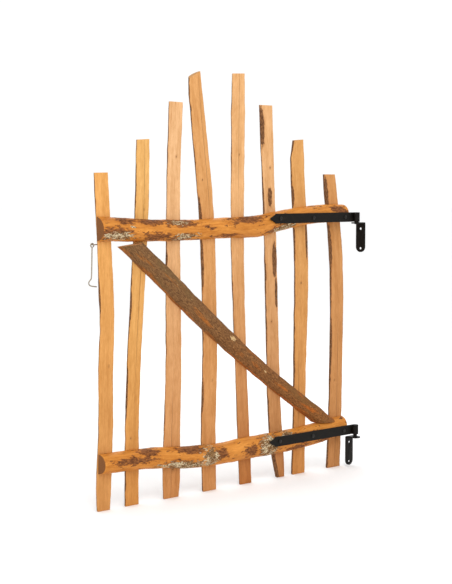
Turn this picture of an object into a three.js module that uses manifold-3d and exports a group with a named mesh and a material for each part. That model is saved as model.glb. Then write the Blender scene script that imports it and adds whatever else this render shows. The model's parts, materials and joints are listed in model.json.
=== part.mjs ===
// A rustic garden gate: eight split hazel pickets screwed to two half-round rails and a
// half-round brace, hung on two black strap hinges with loose pintles, and held shut by a
// wire cabin hook. Millimetres, +Z up. The railed face looks towards -Y and the picket
// faces that the rails lie on are the plane y = 0. The hinge side is +X.
import * as THREE from "three";
import { mergeVertices } from "three/addons/utils/BufferGeometryUtils.js";
import Module from "manifold-3d";

const wasm = await Module();
wasm.setup();

// ---------------------------------------------------------------- driving dimensions
const SIDE_HEIGHT = 1000; // the two outer pickets
const RAIL_DEPTH = 37; // from the sawn back of a rail to its crest
const SEAT_DEPTH = 33; // the same where a strap lies on it
const RAIL_START = -18;
const RAIL_END = 1020;
const GAP = 0.3; // between pieces that touch

const STRAP_LENGTH = 397; // from the tip to the axis of the eye
const STRAP_WIDTH = 32;
const STRAP_THICK = 4;
const STRAP_POINT = 24; // length of the pointed tip
const STRAP_HOLES = [45, 197, 349]; // from the tip
const EYE_BORE = 6.8; // radius
const EYE_RADIUS = EYE_BORE + STRAP_THICK;
const EYE_SWEEP = 295; // degrees of wrap, which leaves a gap beside the strap
const HINGE_X = 1045;
const HINGE_Y = -(SEAT_DEPTH + GAP + EYE_RADIUS);
const UPPER_STRAP_Z = 856;
const LOWER_STRAP_Z = 129;

const PIN_RADIUS = 6.4;
const PIN_HEIGHT = 33; // above the arm
const PLATE_WIDTH = 35;
const PLATE_HEIGHT = 102;
const PLATE_THICK = 4;
const PLATE_SETBACK = 26; // from the pin's axis to the plate's front face
const PLATE_HOLES = [22, 89]; // below the arm's top
const PLATE_HOLE_RADIUS = 4.2;
const SPIGOT_RADIUS = 4.6; // of the riveted end below the arm
const UPPER_ARM_DROP = 2; // from the bottom of the upper eye to its arm
const LOWER_ARM_DROP = 9;
const UPPER_PLATE_TURN = -78; // degrees from the way the lower plate faces

const SCREW_RADIUS = 2.2;
const SCREW_HOLE = 2.9;
const SCREW_HEAD = 4.6;
const SCREW_CONE = 3; // height of the countersunk part of a head
const SCREW_SINK = 5.4; // radius of the recess for a countersunk head
const SINK_DEPTH = 4.2; // from the picket's back to the seat of the head
const PICKET_SCREW_LENGTH = 46;
const BRACE_SCREW_LENGTH = 38;
const STRAP_SCREW_LENGTH = 30; // under the head
const STRAP_SCREW_HEAD = 6.4;

const HOOK_X = -28; // where the hook hangs
const HOOK_Y = 9;
const HOOK_Z = 790;
const EYE_WIRE = 1.6; // radius of the screw eye's wire
const SHANK_BORE = 2.2; // radius of its hole in the picket
const HOOK_WIRE = 1.8;
const WIRE_RING = 5.5; // mean radius of both rings
const HOOK_SAG = 1.8; // from the screw eye's wire to the centre of the hook's ring

// Each picket: its depth, the slope of its top cut, and rows of [height, centre x, width]
// from the ground up, with the last row at the top cut.
const PICKETS = [
  { depth: 20, slope: 0.02, rows: [[0, 2, 44], [9, 0, 51], [90, 4, 54], [250, 12, 52],
    [450, 14, 53], [560, 20, 51], [680, 15, 53], [800, 11, 49], [920, 4, 51], [SIDE_HEIGHT, 0, 48]] },
  { depth: 21, slope: 0.06, rows: [[0, 108, 51], [250, 111, 50], [420, 119, 50], [600, 131, 51],
    [760, 143, 51], [920, 153, 50], [1100, 158, 47]] },
  { depth: 22, slope: -0.02, rows: [[0, 262, 58], [10, 262, 69], [45, 263, 70], [200, 267, 64],
    [400, 274, 60], [600, 274, 57], [800, 274, 53], [1000, 277, 50], [1216, 287, 52]] },
  { depth: 22, slope: 0.5, rows: [[0, 420, 54], [200, 416, 58], [420, 423, 59], [620, 420, 57],
    [800, 414, 59], [950, 402, 59], [1100, 384, 56], [1250, 366, 52], [1301, 361, 40]] },
  { depth: 20, slope: 0.05, rows: [[0, 576, 50], [200, 565, 49], [400, 555, 46], [600, 546, 49],
    [750, 541, 52], [1000, 541, 53], [1200, 543, 55], [1315, 544, 50]] },
  { depth: 21, slope: 0, rows: [[0, 734, 32], [60, 723, 50], [200, 707, 56], [400, 698, 54],
    [600, 691, 52], [800, 684, 50], [1000, 674, 51], [1100, 669, 54], [1220, 663, 55]] },
  { depth: 24, slope: 0.1, rows: [[0, 817, 56], [200, 822, 52], [350, 823, 53], [500, 826, 58],
    [650, 829, 60], [800, 824, 60], [950, 813, 59], [1050, 808, 58], [1090, 809, 54],
    [1112, 812, 40]] },
  { depth: 23, slope: 0, rows: [[0, 985, 63], [200, 994, 59], [400, 998, 58], [560, 1000, 59],
    [700, 996, 60], [800, 986, 60], [920, 969, 57], [SIDE_HEIGHT, 959, 52]] },
];

// Rows of [x, centre height, width, depth] of the half-round rails.
const UPPER_RAIL = [
  [RAIL_START, 836, 73, RAIL_DEPTH], [60, 833, 72, RAIL_DEPTH], [200, 827, 67, RAIL_DEPTH - 2],
  [340, 826, 65, RAIL_DEPTH - 2], [480, 829, 66, RAIL_DEPTH - 2], [570, 830, 69, RAIL_DEPTH - 2],
  [638, 833, 71, SEAT_DEPTH], [690, 842, 70, SEAT_DEPTH], [750, 852, 66, SEAT_DEPTH],
  [870, 866, 62, SEAT_DEPTH], [960, 869, 62, SEAT_DEPTH], [RAIL_END, 869, 58, SEAT_DEPTH],
];
const LOWER_RAIL = [
  [RAIL_START, 142, 62, RAIL_DEPTH], [60, 140, 64, RAIL_DEPTH], [200, 133, 67, RAIL_DEPTH],
  [340, 118, 72, RAIL_DEPTH], [480, 114, 70, RAIL_DEPTH], [560, 117, 74, RAIL_DEPTH - 2],
  [638, 118, 73, SEAT_DEPTH], [760, 119, 74, SEAT_DEPTH], [870, 126, 74, SEAT_DEPTH],
  [960, 135, 72, SEAT_DEPTH], [RAIL_END, 142, 66, SEAT_DEPTH],
];
// The same of the brace, before the saw cuts at its ends.
const BRACE = [
  [40, 835, 58, 33], [180, 725, 67, 35], [340, 593, 68, 34], [480, 482, 64, 32],
  [610, 384, 58, 30], [750, 286, 56, 29], [880, 200, 56, 28], [1000, 112, 54, 28],
];
const BRACE_TOP = 786; // at BRACE_TOP_X, where the top cut begins to rise by BRACE_TOP_SLOPE
const BRACE_TOP_X = 90;
const BRACE_TOP_SLOPE = 0.12;
const BRACE_BOTTOM = 161;
const BRACE_GAP = 1.5; // from the brace to a rail

// ---------------------------------------------------------------- materials
function finish(name, color, roughness, metalness) {
  return new THREE.MeshStandardMaterial({ name, color, roughness, metalness });
}
const SAWN = [0xd9a56c, 0.75, 0];
const PEELED = [0xc07a30, 0.55, 0];
const BARK = [0x77583a, 0.85, 0];
const BLACK = [0x17171a, 0.45, 0.6];
const ZINC = [0xa9a79f, 0.4, 0.9];

// ---------------------------------------------------------------- solids
function solidOf(geometry) {
  const bare = geometry.clone();
  bare.deleteAttribute("normal");
  bare.deleteAttribute("uv");
  const merged = mergeVertices(bare, 1e-4);
  return new wasm.Manifold(
    new wasm.Mesh({
      numProp: 3,
      vertProperties: merged.attributes.position.array,
      triVerts: new Uint32Array(merged.index.array),
    }),
  );
}

function geometryOf(solid) {
  const { vertProperties, triVerts } = solid.getMesh();
  const geometry = new THREE.BufferGeometry();
  geometry.setAttribute("position", new THREE.BufferAttribute(vertProperties, 3));
  geometry.setIndex(new THREE.BufferAttribute(triVerts, 1));
  geometry.computeVertexNormals();
  return geometry;
}

// A closed skin through rings of equal length, with a fan over each end. The rings run
// anticlockwise seen from the last ring's end.
function loft(rings) {
  const count = rings[0].length;
  const positions = rings.flat().flatMap((p) => [p.x, p.y, p.z]);
  const index = [];
  for (let r = 0; r + 1 < rings.length; r++) {
    for (let k = 0; k < count; k++) {
      const a = r * count + k;
      const b = r * count + ((k + 1) % count);
      index.push(a, b, b + count, a, b + count, a + count);
    }
  }
  for (const [ring, turned] of [[0, true], [rings.length - 1, false]]) {
    const middle = new THREE.Vector3();
    rings[ring].forEach((p) => middle.addScaledVector(p, 1 / count));
    const centre = positions.length / 3;
    positions.push(middle.x, middle.y, middle.z);
    for (let k = 0; k < count; k++) {
      const a = ring * count + k;
      const b = ring * count + ((k + 1) % count);
      index.push(...(turned ? [b, a, centre] : [a, b, centre]));
    }
  }
  const geometry = new THREE.BufferGeometry();
  geometry.setAttribute("position", new THREE.Float32BufferAttribute(positions, 3));
  geometry.setIndex(index);
  return geometry;
}

// The values of a row list at t, on a smooth curve through the rows.
function along(rows, t) {
  let i = 0;
  while (i < rows.length - 2 && t > rows[i + 1][0]) i++;
  const [before, from, to, after] = [Math.max(i - 1, 0), i, i + 1, Math.min(i + 2, rows.length - 1)]
    .map((k) => rows[k]);
  const span = to[0] - from[0];
  const u = (t - from[0]) / span;
  return from.slice(1).map((value, k) => {
    const slopeFrom = ((to[k + 1] - before[k + 1]) / (to[0] - before[0])) * span;
    const slopeTo = ((after[k + 1] - from[k + 1]) / (after[0] - from[0])) * span;
    const bend = 2 * (value - to[k + 1]) + slopeFrom + slopeTo;
    const curve = 3 * (to[k + 1] - value) - 2 * slopeFrom - slopeTo;
    return value + u * (slopeFrom + u * (curve + u * bend));
  });
}

// Equally spaced stations from the first row to the last, about one step apart.
function stations(rows, step) {
  const first = rows[0][0];
  const last = rows[rows.length - 1][0];
  const count = Math.ceil((last - first) / step);
  return Array.from({ length: count + 1 }, (_, k) => first + ((last - first) * k) / count);
}

// Half of an ellipse with its flat side on the zero line, as [across, outwards] pairs, with
// the two sawn edges eased.
const HALF_ROUND_STEPS = 8;
const EASED_EDGE = 0.03;
function halfRound(width, depth) {
  const points = [];
  for (let k = 0; k <= HALF_ROUND_STEPS; k++) {
    const angle = (Math.PI * k) / HALF_ROUND_STEPS;
    const across = (Math.cos(angle) * width) / 2;
    points.push([across, Math.max(Math.sin(angle), EASED_EDGE) * depth]);
  }
  const inset = width * (0.5 - EASED_EDGE);
  points.push([-inset, 0], [inset, 0]);
  return points;
}

function cylinder(radius, length, sides) {
  return new THREE.CylinderGeometry(radius, radius, length, sides);
}

// A cylinder along Y, from one y to another, as a solid.
function drill(radius, x, z, fromY, toY, sides = 8) {
  const hole = cylinder(radius, toY - fromY, sides);
  hole.translate(x, (fromY + toY) / 2, z);
  return solidOf(hole);
}

function shapeOf(points) {
  return new THREE.Shape(points.map(([x, y]) => new THREE.Vector2(x, y)));
}

function slab(points, depth) {
  return new THREE.ExtrudeGeometry(shapeOf(points), { depth, bevelEnabled: false });
}

// A round wire along a curve.
function wire(curve, radius, steps) {
  const section = new THREE.Shape();
  const sides = 6;
  for (let k = 0; k < sides; k++) {
    const angle = (2 * Math.PI * k) / sides;
    const point = [radius * Math.cos(angle), radius * Math.sin(angle)];
    if (k) section.lineTo(...point);
    else section.moveTo(...point);
  }
  return new THREE.ExtrudeGeometry(section, { steps, extrudePath: curve, bevelEnabled: false });
}

const gate = new THREE.Group();
function add(name, solid, [color, roughness, metalness]) {
  const mesh = new THREE.Mesh(geometryOf(solid), finish(name, color, roughness, metalness));
  mesh.name = name;
  gate.add(mesh);
  return mesh;
}

// ---------------------------------------------------------------- wood
const PICKET_STEP = 60;
const RAIL_STEP = 40;

function picketSolid({ rows, depth, slope }) {
  const top = rows[rows.length - 1][0];
  const rings = stations(rows, PICKET_STEP).map((z) => {
    const [x, width] = along(rows, z);
    const tilt = z === top ? slope : 0;
    return halfRound(width, depth).map(
      ([across, out]) => new THREE.Vector3(x + across, out, z + across * tilt),
    );
  });
  return solidOf(loft(rings));
}

function railSolid(rows) {
  const rings = stations(rows, RAIL_STEP).map((x) => {
    const [z, width, depth] = along(rows, x);
    return halfRound(width, depth).map(
      ([across, out]) => new THREE.Vector3(x, -GAP - out, z + across),
    );
  });
  return solidOf(loft(rings));
}

function braceSolid() {
  const [first, last] = [BRACE[0], BRACE[BRACE.length - 1]];
  const angle = Math.atan2(last[1] - first[1], last[0] - first[0]);
  const rings = stations(BRACE, RAIL_STEP).map((x) => {
    const [z, width, depth] = along(BRACE, x);
    return halfRound(width, depth).map(
      ([across, out]) =>
        new THREE.Vector3(x - across * Math.sin(angle), -GAP - out, z + across * Math.cos(angle)),
    );
  });
  // The two saw cuts. Each keeps the side that its normal points to.
  const topCut = new THREE.Vector3(BRACE_TOP_SLOPE, 0, -1).normalize();
  const topOffset = topCut.dot(new THREE.Vector3(BRACE_TOP_X, 0, BRACE_TOP));
  return solidOf(loft(rings))
    .trimByPlane(topCut.toArray(), topOffset)
    .trimByPlane([0, 0, 1], BRACE_BOTTOM);
}

// A countersunk screw along Y, driven from the back of a picket.
function sunkScrew(length) {
  const point = 7;
  const rim = 0.6;
  const sides = 8;
  const profile = [[0, -length], [0.4, -length], [SCREW_RADIUS, point - length],
    [SCREW_RADIUS, -SCREW_CONE], [SCREW_HEAD, -rim], [SCREW_HEAD, 0], [0, 0]];
  return solidOf(new THREE.LatheGeometry(profile.map((p) => new THREE.Vector2(...p)), sides));
}

// The driver's recess in a head whose top is y = 0: two crossed slots.
function crossRecess(span, width, depth) {
  const slots = [[span, width], [width, span]].map(([x, z]) =>
    solidOf(new THREE.BoxGeometry(x, 2 * depth, z)),
  );
  return slots[0].add(slots[1]);
}

// Where the middle lines of a picket and of a rail or brace cross, found by stepping from
// one line to the other.
function crossing(picketRows, rows, firstHeight) {
  const steps = 12;
  let z = firstHeight;
  for (let k = 0; k < steps; k++) z = along(rows, along(picketRows, z)[0])[0];
  return { x: along(picketRows, z)[0], z };
}

const crossings = []; // [name, x, z, picket index, screw length]
PICKETS.forEach((picket, i) => {
  for (const [rail, rows] of [["upper_rail", UPPER_RAIL], ["lower_rail", LOWER_RAIL]]) {
    const { x, z } = crossing(picket.rows, rows, rows[0][1]);
    crossings.push([`${rail}_screw_${i + 1}`, x, z, i, PICKET_SCREW_LENGTH]);
  }
  if (i > 0 && i < PICKETS.length - 1) {
    const { x, z } = crossing(picket.rows, BRACE, (BRACE_TOP + BRACE_BOTTOM) / 2);
    crossings.push([`brace_screw_${i + 1}`, x, z, i, BRACE_SCREW_LENGTH]);
  }
});

function drilled(solid, keep) {
  for (const [, x, z, i, length] of crossings.filter(keep)) {
    const back = PICKETS[i].depth;
    const hole = drill(SCREW_HOLE, x, z, back - SINK_DEPTH - length - 1, back + 1);
    const sink = drill(SCREW_SINK, x, z, back - SINK_DEPTH, back + 1);
    solid = solid.subtract(hole).subtract(sink);
  }
  return solid;
}

PICKETS.forEach((picket, i) => {
  let solid = drilled(picketSolid(picket), (c) => c[3] === i);
  if (i === 0) {
    const reach = 40;
    const bore = cylinder(SHANK_BORE, reach, 10);
    bore.rotateZ(Math.PI / 2);
    bore.translate(HOOK_X + WIRE_RING * 2 + reach / 2 - 1, HOOK_Y, HOOK_Z);
    solid = solid.subtract(solidOf(bore));
  }
  add(`picket_${i + 1}`, solid, SAWN);
});

function strapDrills(z) {
  const tip = HINGE_X - STRAP_LENGTH;
  const front = -SEAT_DEPTH - GAP - STRAP_THICK;
  const end = front + STRAP_SCREW_LENGTH + 1;
  return STRAP_HOLES.map((x) => drill(SCREW_HOLE, tip + x, z, front - 2, end));
}
function withStrapHoles(solid, z) {
  return strapDrills(z).reduce((body, hole) => body.subtract(hole), solid);
}

const upperRail = drilled(railSolid(UPPER_RAIL), (c) => c[0].startsWith("upper"));
add("upper_rail", withStrapHoles(upperRail, UPPER_STRAP_Z), PEELED);
const lowerRail = drilled(railSolid(LOWER_RAIL), (c) => c[0].startsWith("lower"));
add("lower_rail", withStrapHoles(lowerRail, LOWER_STRAP_Z), PEELED);

// The brace is relieved where it would touch a rail.
function grown(rows) {
  return rows.map(([x, z, width, depth]) => [x, z, width + 2 * BRACE_GAP, depth + BRACE_GAP]);
}
const brace = [UPPER_RAIL, LOWER_RAIL].reduce((body, rows) => {
  const around = railSolid(grown(rows)).translate([0, GAP, 0]);
  return body.subtract(around);
}, braceSolid());
add("brace", drilled(brace, (c) => c[0].startsWith("brace")), BARK);

for (const [name, x, z, i, length] of crossings) {
  const seat = PICKETS[i].depth - SINK_DEPTH + SCREW_CONE + GAP;
  add(name, sunkScrew(length).translate([x, seat, z]), ZINC);
}

// ---------------------------------------------------------------- hinges
// A flat strap with a pointed tip, rolled towards the front into an eye around the pin.
function strapSolid() {
  const back = EYE_RADIUS;
  const arcSteps = 20;
  const arc = (radius) =>
    Array.from({ length: arcSteps + 1 }, (_, k) => {
      const angle = THREE.MathUtils.degToRad(90 - (EYE_SWEEP * k) / arcSteps);
      return [radius * Math.cos(angle), radius * Math.sin(angle)];
    });
  const outline = [[-STRAP_LENGTH, EYE_BORE], [-STRAP_LENGTH, back], ...arc(back),
    ...arc(EYE_BORE).reverse()];
  const bar = slab(outline.reverse(), STRAP_WIDTH);
  bar.translate(0, 0, -STRAP_WIDTH / 2);
  const half = STRAP_WIDTH / 2;
  const shoulder = 2.5; // the small step behind the point
  const body = solidOf(bar);
  const cuts = [1, -1].map((side) => {
    const tip = -STRAP_LENGTH;
    const root = tip + STRAP_POINT;
    const outside = side * (half + 1);
    const corner = slab(
      [[tip - 1, 0], [tip, 0], [root, side * (half - shoulder)], [root, outside], [tip - 1, outside]],
      STRAP_THICK * 6,
    );
    corner.rotateX(Math.PI / 2);
    corner.translate(0, back + STRAP_THICK, 0);
    return solidOf(corner);
  });
  return cuts.reduce((strap, cut) => strap.subtract(cut), body);
}

function panHeadScrew() {
  const rise = 3.2;
  const point = 6;
  const profile = [[0, -STRAP_SCREW_LENGTH], [0.4, -STRAP_SCREW_LENGTH],
    [SCREW_RADIUS, point - STRAP_SCREW_LENGTH], [SCREW_RADIUS, 0], [STRAP_SCREW_HEAD, 0],
    [STRAP_SCREW_HEAD, 1], [STRAP_SCREW_HEAD * 0.8, 2.4], [STRAP_SCREW_HEAD * 0.4, rise], [0, rise]];
  const geometry = new THREE.LatheGeometry(profile.map((p) => new THREE.Vector2(...p)), 12);
  const recess = crossRecess(5, 1.2, 1.8).translate([0, rise, 0]);
  return solidOf(geometry).subtract(recess).rotate([180, 0, 0]);
}

function strapHinge(name, z) {
  const placed = strapSolid().translate([HINGE_X, HINGE_Y, z]);
  add(`${name}_strap`, withStrapHoles(placed, z), BLACK);
  const front = -SEAT_DEPTH - GAP - STRAP_THICK - GAP;
  STRAP_HOLES.forEach((x, k) => {
    const screw = panHeadScrew().translate([HINGE_X - STRAP_LENGTH + x, front, z]);
    add(`${name}_strap_screw_${k + 1}`, screw, BLACK);
  });
}

// A screw-on plate whose top is bent forward into an arm that carries the pin. Its frame has
// the pin's axis at the origin, the arm's top at z = 0 and the plate behind, towards +Y.
function pintlePlate() {
  const bendRadius = 5;
  const front = PLATE_SETBACK;
  const back = front + PLATE_THICK;
  const end = -PLATE_WIDTH / 2;
  const bend = (radius) =>
    Array.from({ length: 6 }, (_, k) => {
      const angle = (Math.PI / 2) * (1 - k / 5);
      return [back - bendRadius + radius * Math.cos(angle), -bendRadius + radius * Math.sin(angle)];
    });
  const outer = bend(bendRadius);
  const inner = bend(bendRadius - PLATE_THICK).reverse();
  const outline = [[end, 0], ...outer, [back, -PLATE_HEIGHT], [front, -PLATE_HEIGHT], ...inner,
    [end, -PLATE_THICK]];
  // The outline is (y, z): it is extruded along x.
  const bar = slab(outline.reverse(), PLATE_WIDTH);
  bar.rotateY(Math.PI / 2);
  bar.rotateX(Math.PI / 2);
  bar.translate(-PLATE_WIDTH / 2, 0, 0);
  const half = PLATE_WIDTH / 2;
  const round = (flatEnd, steps = 12) => {
    const points = Array.from({ length: steps + 1 }, (_, k) => {
      const angle = Math.PI + (Math.PI * k) / steps;
      return [half * Math.cos(angle), half * Math.sin(angle)];
    });
    return [...points, [half, flatEnd], [-half, flatEnd]];
  };
  const fromFront = slab(round(PLATE_HEIGHT), 4 * PLATE_WIDTH); // (x, z) outline with a round foot
  fromFront.rotateX(Math.PI / 2);
  fromFront.translate(0, 2 * PLATE_WIDTH, half - PLATE_HEIGHT);
  const fromAbove = slab(round(back + 1), 2 * PLATE_HEIGHT); // (x, y) outline with a round nose
  fromAbove.translate(0, 0, 5 - 2 * PLATE_HEIGHT);
  const spigot = cylinder(SPIGOT_RADIUS + GAP + 0.1, 20, 16);
  spigot.rotateX(Math.PI / 2);
  const holes = PLATE_HOLES.map((drop) => drill(PLATE_HOLE_RADIUS, 0, -drop, front - 2, back + 2, 16));
  return [solidOf(spigot), ...holes].reduce(
    (plate, hole) => plate.subtract(hole),
    solidOf(bar).intersect(solidOf(fromFront)).intersect(solidOf(fromAbove)),
  );
}

// The pin, with a shoulder on the arm and a riveted end below it.
function pintlePin() {
  const rivet = 7.5;
  const under = -PLATE_THICK - GAP;
  const profile = [[0, under - 2], [rivet - 2, under - 2], [rivet, under - 0.5], [rivet, under],
    [SPIGOT_RADIUS, under], [SPIGOT_RADIUS, GAP], [9, GAP], [PIN_RADIUS, 1.7],
    [PIN_RADIUS, PIN_HEIGHT - 1], [PIN_RADIUS - 1, PIN_HEIGHT], [0, PIN_HEIGHT]];
  const geometry = new THREE.LatheGeometry(profile.map((p) => new THREE.Vector2(...p)), 18);
  geometry.rotateX(Math.PI / 2);
  return solidOf(geometry);
}

function pintle(name, z, turn) {
  for (const [piece, solid] of [["pintle_plate", pintlePlate()], ["pintle_pin", pintlePin()]]) {
    add(`${name}_${piece}`, solid.rotate([0, 0, turn]).translate([HINGE_X, HINGE_Y, z]), BLACK);
  }
}

strapHinge("upper", UPPER_STRAP_Z);
strapHinge("lower", LOWER_STRAP_Z);
pintle("upper", UPPER_STRAP_Z - STRAP_WIDTH / 2 - UPPER_ARM_DROP, UPPER_PLATE_TURN);
pintle("lower", LOWER_STRAP_Z - STRAP_WIDTH / 2 - LOWER_ARM_DROP, 0);

// ---------------------------------------------------------------- cabin hook
// A level ring with its shank in the edge of the first picket. The hook hangs on the side of
// the ring away from the picket, which is the origin of both curves.
function screwEye() {
  const sweep = THREE.MathUtils.degToRad(318);
  const points = [];
  const steps = 22;
  for (let k = 0; k <= steps; k++) {
    const angle = sweep / 2 + Math.PI - sweep * (k / steps) - THREE.MathUtils.degToRad(21);
    const [x, y] = [WIRE_RING * Math.cos(angle), WIRE_RING * Math.sin(angle)];
    points.push(new THREE.Vector3(WIRE_RING + x, y, 0));
  }
  const shank = [[13.5, 0.3], [16, 0], [26, 0], [36, 0]];
  points.push(...shank.map(([x, y]) => new THREE.Vector3(x, y, 0)));
  return solidOf(wire(new THREE.CatmullRomCurve3(points, false, "centripetal"), EYE_WIRE, 40));
}

// The hook in the XZ plane: a ring, the rod, a step away from the picket, and a tip that
// points back to it.
function hook() {
  const points = [];
  const steps = 18;
  const [from, to] = [-48, 262].map(THREE.MathUtils.degToRad);
  for (let k = 0; k <= steps; k++) {
    const angle = from + ((to - from) * k) / steps;
    points.push([WIRE_RING * Math.cos(angle), WIRE_RING * Math.sin(angle) - HOOK_SAG]);
  }
  const rod = [[-0.6, -11], [-1, -18], [-1.6, -45], [-2.4, -70], [-3.4, -93], [-5, -100], [-9.5, -104.5],
    [-12.8, -109], [-13.2, -113.5], [-10.5, -118], [-5, -120.6], [3, -122], [14, -123.6]];
  const path = [...points, ...rod].map(([x, z]) => new THREE.Vector3(x, 0, z));
  return solidOf(wire(new THREE.CatmullRomCurve3(path, false, "centripetal"), HOOK_WIRE, 68));
}

add("hook_screw_eye", screwEye().translate([HOOK_X, HOOK_Y, HOOK_Z]), ZINC);
add("cabin_hook", hook().translate([HOOK_X, HOOK_Y, HOOK_Z]), ZINC);

// The origin is on the ground under the middle of the gate's box.
const box = new THREE.Box3().setFromObject(gate);
const middle = box.getCenter(new THREE.Vector3());
gate.position.set(-middle.x, -middle.y, -box.min.z);

export default gate;
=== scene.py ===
"""The looks of the garden gate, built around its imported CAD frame. Metres, the frame's axes.

Each timber is measured on its CAD node and skinned again with a finer, rougher surface. The
ironwork and the wire hook are rebuilt smooth at the places that the frame gives.
"""
import json
import math

import bmesh
import bpy
from mathutils import Matrix, Vector, noise
from mathutils.bvhtree import BVHTree


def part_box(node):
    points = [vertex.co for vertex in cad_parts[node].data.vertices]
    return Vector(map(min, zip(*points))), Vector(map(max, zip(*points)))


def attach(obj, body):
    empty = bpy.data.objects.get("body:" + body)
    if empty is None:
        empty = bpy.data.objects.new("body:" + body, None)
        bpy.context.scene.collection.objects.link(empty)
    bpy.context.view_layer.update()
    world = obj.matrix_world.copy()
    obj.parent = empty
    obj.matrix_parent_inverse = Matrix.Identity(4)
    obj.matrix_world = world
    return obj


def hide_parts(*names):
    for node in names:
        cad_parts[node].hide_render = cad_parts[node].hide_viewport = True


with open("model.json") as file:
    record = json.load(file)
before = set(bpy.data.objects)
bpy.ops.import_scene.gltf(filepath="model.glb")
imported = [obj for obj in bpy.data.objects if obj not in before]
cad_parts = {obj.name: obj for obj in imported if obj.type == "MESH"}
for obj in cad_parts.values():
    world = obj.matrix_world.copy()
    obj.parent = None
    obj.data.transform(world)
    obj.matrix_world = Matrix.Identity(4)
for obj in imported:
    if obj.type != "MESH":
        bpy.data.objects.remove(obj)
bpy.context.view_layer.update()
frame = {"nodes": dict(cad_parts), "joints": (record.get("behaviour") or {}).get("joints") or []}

NODES = frame["nodes"]
JOINTS = {joint["name"]: joint for joint in frame["joints"]}
MM = 0.001

# ---------------- driving values
CAMERA_LENS = 87.2
CAMERA_PLACE = (-3.015, -3.298, 0.961)
CAMERA_TURN = (85.713, 0, -42)  # degrees
WORLD_STRENGTH = 1.04
# Each area light: where it is, what it faces, its size and its watts.
KEY_LIGHT = ((-2.2, -3.0, 3.2), (0, 0, 0.9), 2.0, 62)
FILL_LIGHT = ((2.6, 2.8, 2.6), (0, 0, 0.6), 2.4, 30)
FLOOR_RADIUS = 60
FLOOR_HEIGHT = -0.5 * MM

PICKET_COUNT = 8
STATION_STEP = 4 * MM  # along a timber
ARC_STEPS = 26  # round the bark of a timber
FLAT_STEPS = 14  # across its sawn side
RAY_INSET = 0.8 * MM  # above the sawn side, where a timber is widest
RAY_REACH = 0.3
TIMBER_SAMPLES = 60  # sections measured along a timber
DEPTH_SPREAD = 9 * MM  # to each side of a section, where its depth is measured too
END_INSET = 1.5 * MM
EDGE_ROUND = 0.7 * MM
# The two rings that round an end: how far in along the timber and how far in from its
# surface, as shares of EDGE_ROUND.
END_RINGS = [(0.0, 0.75), (0.35, 0.22)]
SLOPE_MARGIN = 30 * MM  # below a picket's top, where its sloping cut is measured
STRAP_MARGIN = 20 * MM  # of the flat that a rail has before its strap begins
RECESS_RADIUS = 5.4 * MM  # of the holes in the bark over the sunk screws
RECESS_DEPTH = 8 * MM
BRACE_TOP_SLOPE = 0.12  # of the saw cut at its top, as the CAD has it
BRACE_FOOT_RISE = 9 * MM  # how much higher its foot is at the sawn side than at the crest
BRACE_INSET = 70 * MM  # from its ends to the first full section
BRACE_LEVEL = 0.16  # from its top and foot, where its direction is measured
BARK_RISE = 0.9 * MM  # of the patches of bark on a peeled rail
FAR = 0.1  # a crack distance that means none

X, Y, Z = Vector((1, 0, 0)), Vector((0, 1, 0)), Vector((0, 0, 1))

# Base colours, linear.
TAN = Vector((0.62, 0.31, 0.115))
WOOD_DEEP = (0.80, 0.70, 0.56)  # the darkest and brightest that grain makes a bare wood
WOOD_BRIGHT = (1.16, 1.17, 1.18)
PEELED = Vector((0.615, 0.258, 0.050))
PEELED_DARK = Vector((0.43, 0.158, 0.027))

# For each picket: its colour at one metre up and at its foot, and how far the bark comes
# round to the left and right edges of the sawn face, from 0, none, to 1, over the edge.
PICKETS = [
    ((0.70, 0.360, 0.112), (0.53, 0.250, 0.080), 0.35, 0.30),
    ((0.69, 0.395, 0.135), (0.55, 0.245, 0.064), 0.68, 0.45),
    ((0.70, 0.420, 0.215), (0.51, 0.228, 0.078), 0.40, 0.45),
    ((0.61, 0.315, 0.120), (0.52, 0.240, 0.086), 0.55, 0.38),
    ((0.69, 0.395, 0.180), (0.40, 0.150, 0.041), 0.30, 0.38),
    ((0.68, 0.395, 0.190), (0.40, 0.168, 0.055), 0.65, 0.45),
    ((0.62, 0.325, 0.113), (0.52, 0.228, 0.066), 0.62, 0.45),
    ((0.57, 0.280, 0.102), (0.45, 0.205, 0.073), 0.72, 0.55),
]
# Bark left on the sawn faces: picket: (height, across from -1 to 1, half length, half width).
FACE_BARK = {
    1: [(0.640, -1.0, 0.055, 0.12)],
    2: [(0.330, -1.0, 0.060, 0.14), (0.600, -1.0, 0.050, 0.16)],
    3: [(0.735, -1.0, 0.025, 0.12)],
    4: [(0.860, -0.95, 0.060, 0.25), (0.720, -0.95, 0.075, 0.20), (0.300, -1.0, 0.050, 0.15)],
    6: [(1.150, -0.90, 0.060, 0.45), (0.925, 0.10, 0.030, 0.35), (0.720, 0.55, 0.055, 0.35),
        (0.610, 0.75, 0.050, 0.22), (0.030, -0.85, 0.090, 0.35)],
    7: [(0.930, -1.0, 0.030, 0.20), (0.780, 0.80, 0.060, 0.15)],
    8: [(0.930, -0.85, 0.055, 0.30), (0.760, -0.95, 0.070, 0.25), (0.420, -1.0, 0.080, 0.15)],
}
# The brace's bark from its grey head to its rusty tail, and the bare chips on it.
BRACE_HEAD = Vector((1.0, 1.0, 1.0))
BRACE_TAIL = Vector((1.18, 0.93, 0.66))
BRACE_CHIPS = [
    (0.515, 0.25, 0.024, 0.36, 1.0), (0.700, -0.10, 0.012, 0.14, 0.9), (0.955, 0.10, 0.016, 0.10, 0.9),
    (0.230, 0.60, 0.012, 0.12, 0.8),
]
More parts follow.
